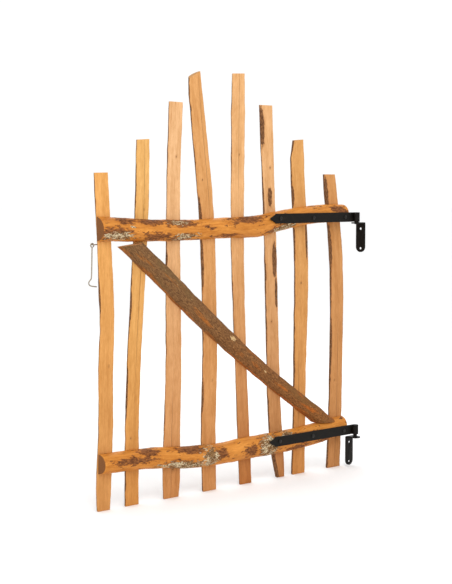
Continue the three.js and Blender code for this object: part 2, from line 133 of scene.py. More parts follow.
# Knots in the sawn faces: picket: (height, across in millimetres, radius in millimetres).
FACE_KNOTS = {
    1: [(0.430, 9, 2.6)],
    2: [(0.205, -6, 2.4), (0.890, 8, 2.2)],
    3: [(1.050, 6, 2.8), (0.090, 4, 3.6)],
    4: [(0.980, -8, 2.4), (0.350, 10, 2.6)],
    5: [(1.060, 4, 2.4)],
    6: [(0.520, -5, 3.0), (1.020, 8, 3.2)],
    7: [(0.640, -4, 3.0)],
    8: [(0.100, 6, 3.0), (0.300, -9, 2.6)],
}
# Drying cracks: picket: (from height, to height, across in millimetres).
FACE_CRACKS = {
    2: [(0.450, 1.080, 6)],
    3: [(0.020, 0.300, -3)],
    4: [(0.900, 1.250, 12)],
    5: [(0.960, 1.310, 2)],
    7: [(0.150, 0.420, -8)],
    8: [(0.020, 0.520, 4)],
}

# Patches left on the peeled rails: (where along the rail, where across it, half length, half
# height, strength). Along is from the left end; across runs from -1, the lower edge, to 1.
UPPER_BARK = [
    (0.045, -0.35, 0.060, 0.50, 1.0), (0.085, 0.80, 0.030, 0.25, 0.9), (0.185, 0.80, 0.050, 0.30, 1.0),
    (0.210, -0.55, 0.050, 0.35, 0.9), (0.300, 0.70, 0.060, 0.35, 1.0), (0.310, -0.70, 0.050, 0.30, 0.9),
    (0.420, 0.10, 0.030, 0.20, 0.6), (0.580, 0.75, 0.075, 0.30, 0.9), (0.500, -0.70, 0.040, 0.22, 0.8),
    (0.720, -0.60, 0.060, 0.35, 0.9), (0.900, -0.70, 0.040, 0.25, 0.8), (0.985, 0.45, 0.028, 0.35, 1.0),
    (1.020, 0.10, 0.020, 0.50, 0.8),
]
UPPER_LICHEN = [
    (0.060, -0.55, 0.050, 0.35, 1.0), (0.320, -0.60, 0.045, 0.35, 0.9), (0.295, 0.75, 0.040, 0.25, 0.8),
    (0.740, -0.65, 0.050, 0.35, 1.0), (0.110, 0.30, 0.015, 0.15, 0.7),
]
LOWER_BARK = [
    (0.110, 0.10, 0.070, 0.35, 0.9), (0.170, 0.75, 0.035, 0.30, 1.0), (0.300, -0.55, 0.080, 0.40, 0.9),
    (0.340, 0.75, 0.055, 0.30, 1.0), (0.450, 0.15, 0.035, 0.50, 1.0), (0.590, -0.10, 0.030, 0.50, 0.9),
    (0.670, 0.00, 0.045, 0.90, 1.0), (0.800, -0.65, 0.050, 0.25, 0.8), (0.940, -0.60, 0.045, 0.30, 0.8),
]
LOWER_LICHEN = [
    (0.310, -0.65, 0.085, 0.40, 1.0), (0.415, 0.00, 0.030, 0.90, 1.0), (0.675, 0.00, 0.038, 1.00, 1.0),
    (0.760, 0.75, 0.025, 0.25, 0.9), (0.230, -0.70, 0.040, 0.25, 0.8),
]
UPPER_KNOTS = [(0.135, 0.15, 0.009), (0.395, 0.45, 0.008), (0.655, 0.25, 0.009)]
LOWER_KNOTS = [(0.175, 0.60, 0.009), (0.520, -0.10, 0.009), (0.735, 0.20, 0.008)]

# The black ironwork, as the CAD has it.
EYE_BORE = 6.8 * MM
STRAP_THICK = 4 * MM
EYE_SWEEP = 295  # degrees
STRAP_POINT = 24 * MM
STRAP_SHOULDER = 2.5 * MM
STRAP_TIP = 0.8 * MM  # half the height of the point's blunt end
IRON_EDGE = 0.5 * MM  # rounding of every edge
# The pin about its axis, in millimetres from the riveted end up: (radius, height).
PIN_TOP = 33
PIN_PROFILE = [
    (0, -6.3), (5.3, -6.3), (6.8, -5.9), (7.5, -5.0), (7.5, -4.3), (4.6, -4.3), (4.6, 0.3), (9, 0.3),
    (8.6, 0.9), (6.9, 1.2), (6.4, 1.9), (6.4, 31.6), (6.2, 32.3), (5.6, 32.9), (4.9, PIN_TOP),
    (0, PIN_TOP),
]
SCREW_SHANK = 2.2 * MM
SUNK_HEAD = 4.6 * MM
PAN_HEAD = 6.4 * MM
PAN_RISE = 3.2 * MM  # of the strap screws' domed heads
SLOT_DEPTH = 1.8 * MM
THREAD = 2 * MM

# The hook's wire in the XZ plane, from its pivot: a ring, then the rod's points in
# millimetres down to its bent tip.
WIRE_RING = 5.5 * MM
HOOK_WIRE = 1.8 * MM
EYE_WIRE = 1.6 * MM
HOOK_SAG = 1.8 * MM
HOOK_RING_SWEEP = (-48, 262)  # degrees
HOOK_ROD = [
    (-0.6, -11), (-1, -18), (-1.6, -45), (-2.4, -70), (-3.4, -93), (-5, -100), (-9.5, -104.5),
    (-12.8, -109), (-13.2, -113.5), (-10.5, -118), (-5, -120.6), (3, -122), (14, -123.6),
]
SCREW_EYE_SWEEP = 318  # degrees
SCREW_EYE_TURN = 21  # degrees, which sets the gap of the eye to one side of its shank
SCREW_EYE_SHANK = [(13.5, 0.3), (16, 0), (26, 0), (36, 0)]


# ---------------- scene
def linked(name, data):
    """A new object of the data, in the scene."""
    made = bpy.data.objects.new(name, data)
    bpy.context.scene.collection.objects.link(made)
    return made


def add_camera():
    data = bpy.data.cameras.new("camera")
    data.lens = CAMERA_LENS
    camera = linked("camera", data)
    camera.location = CAMERA_PLACE
    camera.rotation_euler = [math.radians(angle) for angle in CAMERA_TURN]
    bpy.context.scene.camera = camera


def add_area_light(name, location, target, size, power):
    data = bpy.data.lights.new(name, "AREA")
    data.size = size
    data.energy = power
    light = linked(name, data)
    light.location = location
    light.rotation_euler = (Vector(target) - Vector(location)).to_track_quat("-Z", "Y").to_euler()


def add_studio():
    scene = bpy.context.scene
    scene.view_settings.view_transform = "Standard"
    world = bpy.data.worlds.new("studio")
    world.use_nodes = True
    background = world.node_tree.nodes["Background"]
    background.inputs["Color"].default_value = (1, 1, 1, 1)
    background.inputs["Strength"].default_value = WORLD_STRENGTH
    scene.world = world
    add_area_light("key", *KEY_LIGHT)
    add_area_light("fill", *FILL_LIGHT)

    bpy.ops.mesh.primitive_circle_add(
        vertices=96, radius=FLOOR_RADIUS, fill_type="NGON", location=(0, 0, FLOOR_HEIGHT)
    )
    floor = bpy.context.object
    floor.name = "floor"
    paint, shader = new_material("pale_floor", roughness=0.9, specular=0.1)
    shader.inputs["Base Color"].default_value = (0.97, 0.97, 0.97, 1)
    floor.data.materials.append(paint)


# ---------------- node helpers
def new_material(name, roughness=0.6, specular=0.5, metallic=0.0):
    paint = bpy.data.materials.new(name)
    paint.use_nodes = True
    shader = paint.node_tree.nodes["Principled BSDF"]
    shader.inputs["Roughness"].default_value = roughness
    shader.inputs["Specular IOR Level"].default_value = specular
    shader.inputs["Metallic"].default_value = metallic
    return paint, shader


class Graph:
    """Short calls for the nodes of one material. A value is a number, a tuple or a socket."""

    def __init__(self, paint, shader):
        self.tree = paint.node_tree
        self.shader = shader

    def put(self, socket, value):
        if isinstance(value, bpy.types.NodeSocket):
            self.tree.links.new(value, socket)
        else:
            socket.default_value = value

    def node(self, kind, inputs=None, **settings):
        """A node of the kind, with its inputs given by name or number."""
        made = self.tree.nodes.new(kind)
        for key, value in settings.items():
            setattr(made, key, value)
        for key, value in (inputs or {}).items():
            self.put(made.inputs[key], value)
        return made

    def attribute(self, name, output):
        return self.node("ShaderNodeAttribute", attribute_name=name).outputs[output]

    def pattern(self, kind, vector, stretch, **inputs):
        """A texture node of the kind, with its pattern stretched along each axis."""
        mapping = self.node("ShaderNodeMapping", {"Vector": vector, "Scale": stretch})
        return self.node(kind, {"Vector": mapping.outputs[0], **inputs})

    def noise(self, vector, scale, stretch=(1, 1, 1), detail=4, roughness=0.55):
        inputs = {"Scale": scale, "Detail": detail, "Roughness": roughness}
        return self.pattern("ShaderNodeTexNoise", vector, stretch, **inputs).outputs[0]

    def cells(self, vector, scale, stretch=(1, 1, 1)):
        made = self.pattern("ShaderNodeTexVoronoi", vector, stretch, Scale=scale)
        return made.outputs["Distance"]

    def math(self, operation, a, b=0.0):
        return self.node("ShaderNodeMath", {0: a, 1: b}, operation=operation).outputs[0]

    def add(self, a, b):
        return self.math("ADD", a, b)

    def less(self, a, b):
        return self.math("SUBTRACT", a, b)

    def times(self, a, b):
        return self.math("MULTIPLY", a, b)

    def step(self, value, low, high, to_low=0.0, to_high=1.0):
        """A smooth rise from to_low to to_high as the value goes from low to high."""
        inputs = {"Value": value, "From Min": low, "From Max": high, "To Min": to_low, "To Max": to_high}
        made = self.node("ShaderNodeMapRange", inputs, interpolation_type="SMOOTHSTEP")
        return made.outputs["Result"]

    def mix(self, factor, a, b, blend="MIX"):
        inputs = {"Factor": factor, 6: a, 7: b}
        return self.node("ShaderNodeMix", inputs, data_type="RGBA", blend_type=blend).outputs[2]

    def shade(self, colour, factor):
        """The colour times a number."""
        inputs = {0: colour, "Scale": factor}
        return self.node("ShaderNodeVectorMath", inputs, operation="SCALE").outputs[0]

    def finish(self, colour, roughness, height, strength, distance):
        inputs = {"Height": height, "Strength": strength, "Distance": distance}
        bump = self.node("ShaderNodeBump", inputs)
        self.put(self.shader.inputs["Base Color"], colour)
        self.put(self.shader.inputs["Roughness"], roughness)
        self.put(self.shader.inputs["Normal"], bump.outputs[0])


# ---------------- materials
# The wood's own coordinates are in the attribute "grain": across, outwards and along.
def bark_colour(graph, grain, dark, light):
    """Bark with darker pits and paler flakes, and its height for the bump."""
    flakes = graph.noise(grain, 210, (1, 1, 0.45), detail=6, roughness=0.7)
    clouds = graph.noise(grain, 40, (1, 1, 0.4), detail=3)
    colour = graph.mix(graph.step(flakes, 0.36, 0.64), dark, light)
    pale = graph.step(clouds, 0.55, 0.75, 0.0, 0.4)
    return graph.mix(pale, colour, graph.shade(light[:3], 1.25)), flakes


def lichen_colour(graph, grain):
    """Fine cream and olive crusts on brown bark."""
    crust = graph.cells(grain, 300, (1, 1, 0.6))
    specks = graph.noise(grain, 330, (1, 1, 0.6), detail=5, roughness=0.75)
    clumps = graph.noise(grain, 75, (1, 1, 0.5), detail=4, roughness=0.6)
    base = graph.mix(graph.step(specks, 0.4, 0.62), (0.070, 0.030, 0.012, 1), (0.34, 0.185, 0.070, 1))
    cream = graph.step(graph.less(clumps, graph.times(crust, 0.35)), 0.30, 0.40)
    cream = graph.times(cream, graph.step(specks, 0.40, 0.52))
    return graph.mix(cream, base, (0.66, 0.53, 0.33, 1)), specks


def wood_colour(graph, grain, contrast):
    """The tint attribute with short grain dashes, soft bands and a few darker streaks."""
    tint = graph.attribute("tint", "Color")
    fine = graph.noise(grain, 380, (1, 1, 0.07), detail=4, roughness=0.65)
    bands = graph.noise(grain, 75, (1, 1, 0.06), detail=4, roughness=0.6)
    clouds = graph.noise(grain, 30, (1, 1, 0.35), detail=5, roughness=0.6)
    mottle = graph.noise(grain, 170, (1, 1, 0.30), detail=4, roughness=0.7)
    depth = graph.times(graph.step(fine, 0.3, 0.7), 0.30)
    for layer, share in ((bands, 0.28), (clouds, 0.22), (mottle, 0.20)):
        depth = graph.add(depth, graph.times(graph.step(layer, 0.32, 0.68), share))
    deep = tuple(1 - contrast * (1 - f) for f in WOOD_DEEP)
    bright = tuple(1 + contrast * (f - 1) for f in WOOD_BRIGHT)
    colour = graph.mix(1.0, tint, graph.mix(depth, (*deep, 1), (*bright, 1)), "MULTIPLY")
    streak = graph.step(graph.noise(grain, 120, (1, 1, 0.03), detail=3), 0.62, 0.72)
    rust = graph.mix(1.0, colour, (0.74, 0.58, 0.42, 1), "MULTIPLY")
    colour = graph.mix(graph.times(streak, 0.6), colour, rust)
    # pale flecks where the plane of the saw crosses the rays
    flecks = graph.step(graph.cells(grain, 300, (1, 1, 0.12)), 0.16, 0.06, 0.0, 0.35 * contrast)
    return graph.mix(flecks, colour, graph.shade(colour, 1.22)), fine


def add_knots(graph, grain, colour):
    """The attribute "knot" falls from 1 at a knot's middle to 0 outside it."""
    field = graph.attribute("knot", "Fac")
    warped = graph.add(field, graph.times(graph.noise(grain, 300, detail=2), 0.25))
    halo = graph.step(warped, 0.2, 0.7)
    core = graph.step(warped, 0.72, 0.90)
    colour = graph.mix(graph.times(halo, 0.45), colour, (0.30, 0.12, 0.035, 1))
    return graph.mix(core, colour, (0.12, 0.055, 0.022, 1))


def timber_material(name, contrast, roughness, edge_noise, fleck, bark_dark, bark_light):
    """Bare wood where the attribute "bark" is low, bark where it is high, then lichen. The
    attribute "crack" is the distance to the nearest drying crack. contrast is the grain's,
    edge_noise frays the bark's edge, and a higher fleck leaves fewer scraps of bast."""
    paint, shader = new_material(name, specular=0.12)
    graph = Graph(paint, shader)
    grain = graph.attribute("grain", "Vector")
    wood, fine = wood_colour(graph, grain, contrast)
    wood = add_knots(graph, grain, wood)
    wander = graph.times(graph.less(graph.noise(grain, 60, (0, 0, 1)), 0.5), 3.0 * MM)
    away = graph.math("ABSOLUTE", graph.add(graph.attribute("crack", "Fac"), wander))
    crack = graph.step(away, 1.1 * MM, 0.2 * MM)
    wood = graph.mix(graph.times(crack, 0.75), wood, (0.13, 0.052, 0.018, 1))

    bark, flakes = bark_colour(graph, grain, bark_dark, bark_light)
    crust, specks = lichen_colour(graph, grain)
    ragged = graph.noise(grain, 150, (1, 1, 0.35), detail=6, roughness=0.7)
    ragged = graph.times(graph.less(ragged, 0.5), edge_noise)
    covered = graph.add(graph.attribute("bark", "Fac"), ragged)
    on_bark = graph.step(covered, 0.47, 0.52)
    # small flecks of bast are scattered over the peeled wood
    scraps = graph.noise(grain, 62, (1, 1, 0.3), detail=5, roughness=0.6)
    on_bark = graph.math("MAXIMUM", on_bark, graph.step(scraps, fleck, fleck + 0.02))
    on_crust = graph.step(graph.add(graph.attribute("lichen", "Fac"), ragged), 0.47, 0.6)
    # a rim of stained wood goes round each patch of bark
    rim = graph.step(covered, 0.24, 0.5, 0.0, 0.5)
    wood = graph.mix(rim, wood, graph.mix(1.0, wood, (0.72, 0.56, 0.42, 1), "MULTIPLY"))
    colour = graph.mix(on_crust, graph.mix(on_bark, wood, bark), crust)
    bare_roughness = graph.step(fine, 0.3, 0.7, roughness, roughness + 0.1)
    surface_roughness = graph.add(graph.times(on_bark, 0.2), bare_roughness)
    height = graph.add(graph.times(fine, 0.25), graph.times(on_bark, flakes))
    height = graph.add(height, graph.times(on_crust, specks))
    height = graph.less(height, graph.times(crack, 0.8))
    graph.finish(colour, surface_roughness, height, 0.6, 0.8 * MM)
    return paint


def end_grain_material(name, light, dark, ring_phase):
    """A sawn end: rings round the pith and fine pores. ring_phase is the radians of ring per
    metre out from the pith."""
    paint, shader = new_material(name, specular=0.2)
    graph = Graph(paint, shader)
    grain = graph.attribute("grain", "Vector")
    flat = graph.node("ShaderNodeVectorMath", {0: grain, 1: (1, 1, 0)}, operation="MULTIPLY")
    apart = {0: flat.outputs[0], 1: (0, -0.004, 0)}
    radius = graph.node("ShaderNodeVectorMath", apart, operation="DISTANCE")
    wobble = graph.times(graph.noise(grain, 60, detail=3), 0.004)
    wave = graph.math("SINE", graph.times(graph.add(radius.outputs["Value"], wobble), ring_phase))
    pores = graph.noise(grain, 900, detail=3, roughness=0.7)
    factor = graph.add(graph.times(wave, 0.22), pores)
    colour = graph.mix(graph.step(factor, 0.25, 0.8), dark, light)
    graph.finish(colour, graph.step(pores, 0.3, 0.7, 0.75, 0.95), factor, 0.4, 0.4 * MM)
    return paint


def brace_material():
    """A bark-covered face: fine brown and olive specks along the grain, and rusty streaks. The
    attribute "lichen" holds the bare chips."""
    paint, shader = new_material("brace_bark", specular=0.12)
    graph = Graph(paint, shader)
    grain = graph.attribute("grain", "Vector")
    flakes = graph.noise(grain, 480, (1, 1, 0.20), detail=7, roughness=0.78)
    streaks = graph.noise(grain, 90, (1, 1, 0.08), detail=5, roughness=0.65)
    clouds = graph.noise(grain, 22, (1, 1, 0.3), detail=3)
    chips = graph.cells(grain, 110, (1, 1, 0.35))
    bare_edge = graph.noise(grain, 130, (1, 1, 0.4), detail=5, roughness=0.7)
    colour = graph.mix(graph.step(flakes, 0.36, 0.66), (0.068, 0.030, 0.012, 1), (0.31, 0.155, 0.060, 1))
    olive = graph.mix(0.5, colour, (0.150, 0.088, 0.034, 1))
    colour = graph.mix(graph.step(clouds, 0.5, 0.62), colour, olive)
    rust = graph.mix(graph.step(flakes, 0.35, 0.65), (0.17, 0.056, 0.014, 1), (0.42, 0.155, 0.034, 1))
    edge = graph.attribute("bark", "Fac")
    bare = graph.add(graph.less(streaks, edge), 0.95)
    colour = graph.mix(graph.step(bare, 0.53, 0.66), colour, rust)
    colour = graph.mix(1.0, colour, graph.attribute("tint", "Color"), "MULTIPLY")
    pale = graph.times(graph.step(chips, 0.10, 0.05), graph.step(clouds, 0.48, 0.54))
    chipped = graph.add(graph.attribute("lichen", "Fac"), graph.times(bare_edge, 3.0))
    pale = graph.math("MAXIMUM", pale, graph.step(chipped, 2.3, 2.4))
    colour = graph.mix(pale, colour, (0.55, 0.36, 0.17, 1))
    height = graph.add(flakes, graph.times(streaks, 0.5))
    graph.finish(colour, graph.step(flakes, 0.3, 0.7, 0.72, 0.92), height, 0.7, 1.0 * MM)
    return paint


def iron_material(name, specular, roughness):
    """Black coat with a fine orange-peel skin and slightly worn, dusty spots."""
    paint, shader = new_material(name, specular=specular)
    graph = Graph(paint, shader)
    place = graph.node("ShaderNodeTexCoord").outputs["Object"]
    peel = graph.noise(place, 1400, detail=2)
    dust = graph.noise(place, 60, detail=5, roughness=0.65)
    clean, dusty = (0.0045, 0.0032, 0.0020, 1), (0.014, 0.0105, 0.0070, 1)
    colour = graph.mix(graph.step(dust, 0.45, 0.75), clean, dusty)
    graph.finish(colour, graph.step(dust, 0.3, 0.7, roughness, roughness + 0.18), peel, 0.25, 0.15 * MM)
    return paint


def zinc_material(name, light, dark, roughness):
    """Zinc: a mottled spangle with dull brownish stains."""
    paint, shader = new_material(name, specular=0.5, metallic=0.85)
    graph = Graph(paint, shader)
    place = graph.node("ShaderNodeTexCoord").outputs["Object"]
    spangle = graph.cells(place, 420)
    stain = graph.noise(place, 120, detail=5, roughness=0.65)
    colour = graph.mix(graph.step(spangle, 0.1, 0.6), dark, light)
    colour = graph.mix(graph.step(stain, 0.5, 0.72, 0.0, 0.7), colour, (0.20, 0.145, 0.09, 1))
    graph.finish(colour, graph.step(stain, 0.3, 0.7, roughness, roughness + 0.2), stain, 0.2, 0.1 * MM)
    return paint


# ---------------- measuring a timber
def tree_of(node):
    mesh = NODES[node].data
    return BVHTree.FromPolygons([v.co for v in mesh.vertices], [tuple(p.vertices) for p in mesh.polygons])


def reach(tree, origin, direction):
    """How far from the origin the node's surface is, or None."""
    return tree.ray_cast(origin, direction)[3]


def sides_at(tree, y, z):
    """Where a ray along X meets the node's left and right sides."""
    left = -1 + reach(tree, Vector((-1, y, z)), X)
    right = 1 - reach(tree, Vector((1, y, z)), -X)
    return left, right


class Timber:
    """A half-round timber: its length from start to end, the way across it and the way out
    of its sawn side, with its centre, half width and depth measured at stations."""

    def __init__(self, node, start, end, across, outward, inset=END_INSET):
        self.node = node
        self.start, self.end, self.across, self.outward = start, end, across, outward
        self.length = (end - start).length
        self.axis = (end - start).normalized()
        self.rows = []
        tree = tree_of(node)
        lift = outward * RAY_INSET
        for k in range(TIMBER_SAMPLES + 1):
            s = inset + (self.length - 2 * inset) * k / TIMBER_SAMPLES
            base = start + self.axis * s
            up = reach(tree, base + lift + across * RAY_REACH, -across)
            down = reach(tree, base + lift - across * RAY_REACH, across)
            if up is None or down is None:
                continue
            high, low = RAY_REACH - up, down - RAY_REACH
            centre = base + across * (high + low) / 2
            depths = [
                reach(tree, centre + self.axis * d + outward * RAY_REACH, -outward)
                for d in (-DEPTH_SPREAD, 0, DEPTH_SPREAD)
            ]
            depth = max(RAY_REACH - d for d in depths if d is not None)
            self.rows.append((s, (high + low) / 2, (high - low) / 2, depth))

    def at(self, s):
        """Centre offset, half width and depth at s, between the measured stations."""
        rows = self.rows
        if s <= rows[0][0]:
            return self.beyond(rows[0], rows[1], s)
        if s >= rows[-1][0]:
            return self.beyond(rows[-1], rows[-2], s)
        step = (rows[-1][0] - rows[0][0]) / (len(rows) - 1)
        k = min(int((s - rows[0][0]) / step), len(rows) - 2)
        u = (s - rows[k][0]) / (rows[k + 1][0] - rows[k][0])
        return [a + (b - a) * u for a, b in zip(rows[k][1:], rows[k + 1][1:])]

    def beyond(self, last, before, s):
        slope = (last[1] - before[1]) / (last[0] - before[0])
        return [last[1] + slope * (s - last[0]), last[2], last[3]]

    def point(self, s, c, o):
        """The place at s along, c half widths across and o depths out."""
        centre, half, depth = self.at(s)
        return self.start + self.axis * s + self.across * (centre + c * half) + self.outward * (o * depth)


def section():
    """(c, o) pairs round a half-round section: the bark arc from +1 to -1, then the flat."""
    pairs = []
    for k in range(ARC_STEPS + 1):
        angle = math.pi * k / ARC_STEPS
        pairs.append((math.cos(angle), max(math.sin(angle), 0.03)))
    for k in range(FLAT_STEPS + 1):
        pairs.append((-0.975 + 1.95 * k / FLAT_STEPS, 0.0))
    return pairs


def patch_cover(patches, s, c):
    """How strongly any of the patches covers a place, from 0 to 1 or a little more."""
    best = 0.0
    for where, across, long, high, strength in patches:
        d = math.hypot((s - where) / long, (c - across) / high)
        best = max(best, strength * max(0.0, 1.15 - 0.62 * d))
    return best


def knot_field(knots, s, across):
    best = 0.0
    for where, side, radius in knots:
        d = math.hypot((s - where) / 1.6, across - side) / radius
        best = max(best, 1 - d / 2.2)
    return max(best, 0.0)


def crack_distance(splits, s, across):
    """How far a place is from the nearest crack, which closes towards its ends."""
    best = FAR
    for low, high, side in splits:
        middle, half = (low + high) / 2, (high - low) / 2
        closing = max(0.0, abs(s - middle) / half - 0.8) * 8 * MM
        offset = across - side * MM
        best = min(best, offset + math.copysign(closing, offset), key=abs)
    return best


def skin(name, timber, ends, shape, dress, materials):
    """A closed mesh over a timber. ends(k) gives the first and last s of line k of the
    section, shape(s, c, o, half, depth, seed) how far a place moves across and out, and
    dress(s, c, o, across) its tint, bark, lichen, knot and crack. materials are those of the
    surface and of the ends."""
    pairs = section()
    count = len(pairs)
    stations = max(2, round(timber.length / STATION_STEP))
    verts, grain, looks = [], [], []
    seed = Vector((0, 0, 7.0 * (1 + sum(map(ord, timber.node)) % 97)))
    for j in range(-2, stations + 3):
        for k, (c, o) in enumerate(pairs):
            first, last = ends(k)
            inner_first, inner_last = first + EDGE_ROUND, last - EDGE_ROUND
            inset = 0.0
            if 0 <= j <= stations:
                s = inner_first + (inner_last - inner_first) * j / stations
            else:
                along, inwards = END_RINGS[j + 2 if j < 0 else stations + 2 - j]
                s = first + EDGE_ROUND * along if j < 0 else last - EDGE_ROUND * along
                inset = EDGE_ROUND * inwards
            centre, half, depth = timber.at(s)
            move_across, move_out = shape(s, c, o, half, depth, seed)
            squeeze = 1 - inset / half
            across = (c * half + move_across) * squeeze
            out = (o * depth + move_out) * (1 - inset / depth)
            place = timber.start + timber.axis * s
            verts.append(place + timber.across * (centre + across) + timber.outward * out)
            grain.append(Vector((across, out, s)) + seed)
            looks.append(dress(s, c, o, across))
    rings = stations + 5
    faces = []
    for j in range(rings - 1):
        for k in range(count):
            a, b = j * count + k, j * count + (k + 1) % count
            faces.append((a, b, b + count, a + count))
    faces.append(tuple(reversed(range(count))))
    faces.append(tuple((rings - 1) * count + k for k in range(count)))
    mesh = bpy.data.meshes.new(name)
    mesh.from_pydata([tuple(v) for v in verts], [], faces)
    tint, bark, lichen, knots, cracks = zip(*looks)
    for label, kind, key, values in (
        ("grain", "FLOAT_VECTOR", "vector", [x for g in grain for x in g]),
        ("tint", "FLOAT_COLOR", "color", [x for t in tint for x in (*t, 1.0)]),
        ("bark", "FLOAT", "value", bark),
        ("lichen", "FLOAT", "value", lichen),
        ("knot", "FLOAT", "value", knots),
        ("crack", "FLOAT", "value", cracks),
    ):
        mesh.attributes.new(label, kind, "POINT").data.foreach_set(key, values)
    for paint in materials:
        mesh.materials.append(paint)
    bm = bmesh.new()
    bm.from_mesh(mesh)
    bmesh.ops.recalc_face_normals(bm, faces=bm.faces)
    bm.faces.ensure_lookup_table()
    for face in bm.faces:
        face.smooth = True
    for face in bm.faces[-2:]:
        face.material_index = 1
        face.smooth = False
    bm.to_mesh(mesh)
    bm.free()
    mesh.set_sharp_from_angle(angle=math.radians(50))
    return linked(name, mesh)


def place_piece(piece, body, slot, *nodes):
    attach(piece, body)
    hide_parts(*nodes)


def grain_noise(seed, s, a, b, scale, stretch):
    """Smooth noise from -1 to 1 that runs along the grain."""
    return noise.noise(Vector((a / scale, b / scale, s * stretch / scale)) + seed)


# ---------------- timbers
def timber_shape(small, large, wander):
    """Lumps on the arc, a sawn face that undulates slightly, and edges that wander. small and
    large are the heights of the lumps, and wander is how far an edge strays."""

    def shape(s, c, o, half, depth, seed):
        side = math.copysign(9, c) * MM
        edge = wander * grain_noise(seed, s, side, 0, 42 * MM, 0.9)
        edge += 0.35 * wander * grain_noise(seed, s, side, 0, 11 * MM, 0.9)
        if o == 0.0:
            ripple = 0.18 * MM * grain_noise(seed, s, c * half, 0, 14 * MM, 0.08)
            return c * abs(c) * edge, -abs(ripple)
        lump = small * grain_noise(seed, s, c * half, o * depth, 13 * MM, 0.35)
        lump += large * grain_noise(seed, s, c * half, o * depth, 42 * MM, 0.6)
        lump -= 0.4 * (small + large)
        return c * abs(c) * edge + c * lump * min(o * 4, 1), o * lump

    return shape


def top_line(node):
    """The height of a picket's top at its middle, and the slope of its top cut."""
    tree = tree_of(node)
    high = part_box(node)[1].z
    level = high - SLOPE_MARGIN
    middle = (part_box(node)[0].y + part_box(node)[1].y) / 2 - 6 * MM
    left, right = sides_at(tree, middle, level)
    inside = 0.25 * (right - left)
    spots = [left + inside, right - inside]
    tops = [high + 0.1 - reach(tree, Vector((x, middle, high + 0.1)), -Z) for x in spots]
    slope = (tops[1] - tops[0]) / (spots[1] - spots[0])
    return sum(tops) / 2, slope


def make_picket(number, materials):
    node = f"picket_{number}"
    head, foot, bark_left, bark_right = PICKETS[number - 1]
    low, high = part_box(node)
    top, slope = top_line(node)
    x = (low.x + high.x) / 2
    face = low.y
    inset = END_INSET + abs(slope) * SLOPE_MARGIN
    timber = Timber(node, Vector((x, face, 0)), Vector((x, face, top)), X, Y, inset)
    pairs = section()

    def ends(k):
        half = timber.at(timber.length)[1]
        return 0.0, timber.length + slope * pairs[k][0] * half

    knots = [(up, side * MM, radius * MM) for up, side, radius in FACE_KNOTS.get(number, [])]
    patches = [(*patch, 1.0) for patch in FACE_BARK.get(number, [])]
    splits = FACE_CRACKS.get(number, [])
    foot, head = Vector(foot), Vector(head)

    def dress(s, c, o, across):
        tint = foot.lerp(head, min(s, 1.0))
        reach_in = bark_left if c < 0 else bark_right
        ragged = 0.85 * noise.noise(Vector((s * 7, number * 2.0, math.copysign(1, c))))
        ragged += 0.30 * noise.noise(Vector((s * 38, number * 2.0, math.copysign(1, c))))
        patch = patch_cover(patches, s, c)
        if o == 0.0:
            edge = (abs(c) - 0.93) * 6
            bark = max(patch, reach_in + ragged - 0.62 + edge, 0.0)
            return tint, bark, 0.0, knot_field(knots, s, across), crack_distance(splits, s, across)
        return tint, max(o * 2.6 + reach_in - 0.35 + ragged, patch), 0.0, 0.0, FAR

    shape = timber_shape(0.45 * MM, 0.8 * MM, 1.7 * MM)
    piece = skin(f"{node}_wood", timber, ends, shape, dress, materials)
    screws = [n for n in NODES if n.endswith(f"_screw_{number}") and ("rail_" in n or "brace_" in n)]
    cut_screw_recesses(piece, screws)
    place_piece(piece, "leaf", "sawn_picket", node)


def cut_screw_recesses(piece, screws):
    """Round recesses in the bark over the sunk screw heads."""
    bm = bmesh.new()
    for screw in screws:
        low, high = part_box(screw)
        spot = Vector(((low.x + high.x) / 2, high.y + 2 * MM, (low.z + high.z) / 2))
        turn = Matrix.Translation(spot) @ Matrix.Rotation(math.pi / 2, 4, "X")
        bmesh.ops.create_cone(
            bm, cap_ends=True, segments=20, radius1=RECESS_RADIUS, radius2=RECESS_RADIUS,
            depth=RECESS_DEPTH, matrix=turn,
        )
    cut_away(piece, [linked("recess", mesh_of(bm, "recess"))])


def mesh_of(bm, name):
    mesh = bpy.data.meshes.new(name)
    bm.to_mesh(mesh)
    bm.free()
    return mesh


def smooth_mesh(bm, name):
    """The mesh of bm, with its faces turned outwards and shaded smooth."""
    bmesh.ops.recalc_face_normals(bm, faces=bm.faces)
    for face in bm.faces:
        face.smooth = True
    return mesh_of(bm, name)


def cut_away(piece, cutters):
    for cutter in cutters:
        cut = piece.modifiers.new("cut", "BOOLEAN")
        cut.operation = "DIFFERENCE"
        cut.solver = "EXACT"
        cut.object = cutter
    apply_modifiers(piece)
    for cutter in cutters:
        bpy.data.objects.remove(cutter)


def apply_modifiers(piece):
    bpy.context.view_layer.update()
    graph = bpy.context.evaluated_depsgraph_get()
    mesh = bpy.data.meshes.new_from_object(piece.evaluated_get(graph))
    piece.modifiers.clear()
    old = piece.data
    piece.data = mesh
    mesh.name = old.name + "_cut"
    bpy.data.meshes.remove(old)


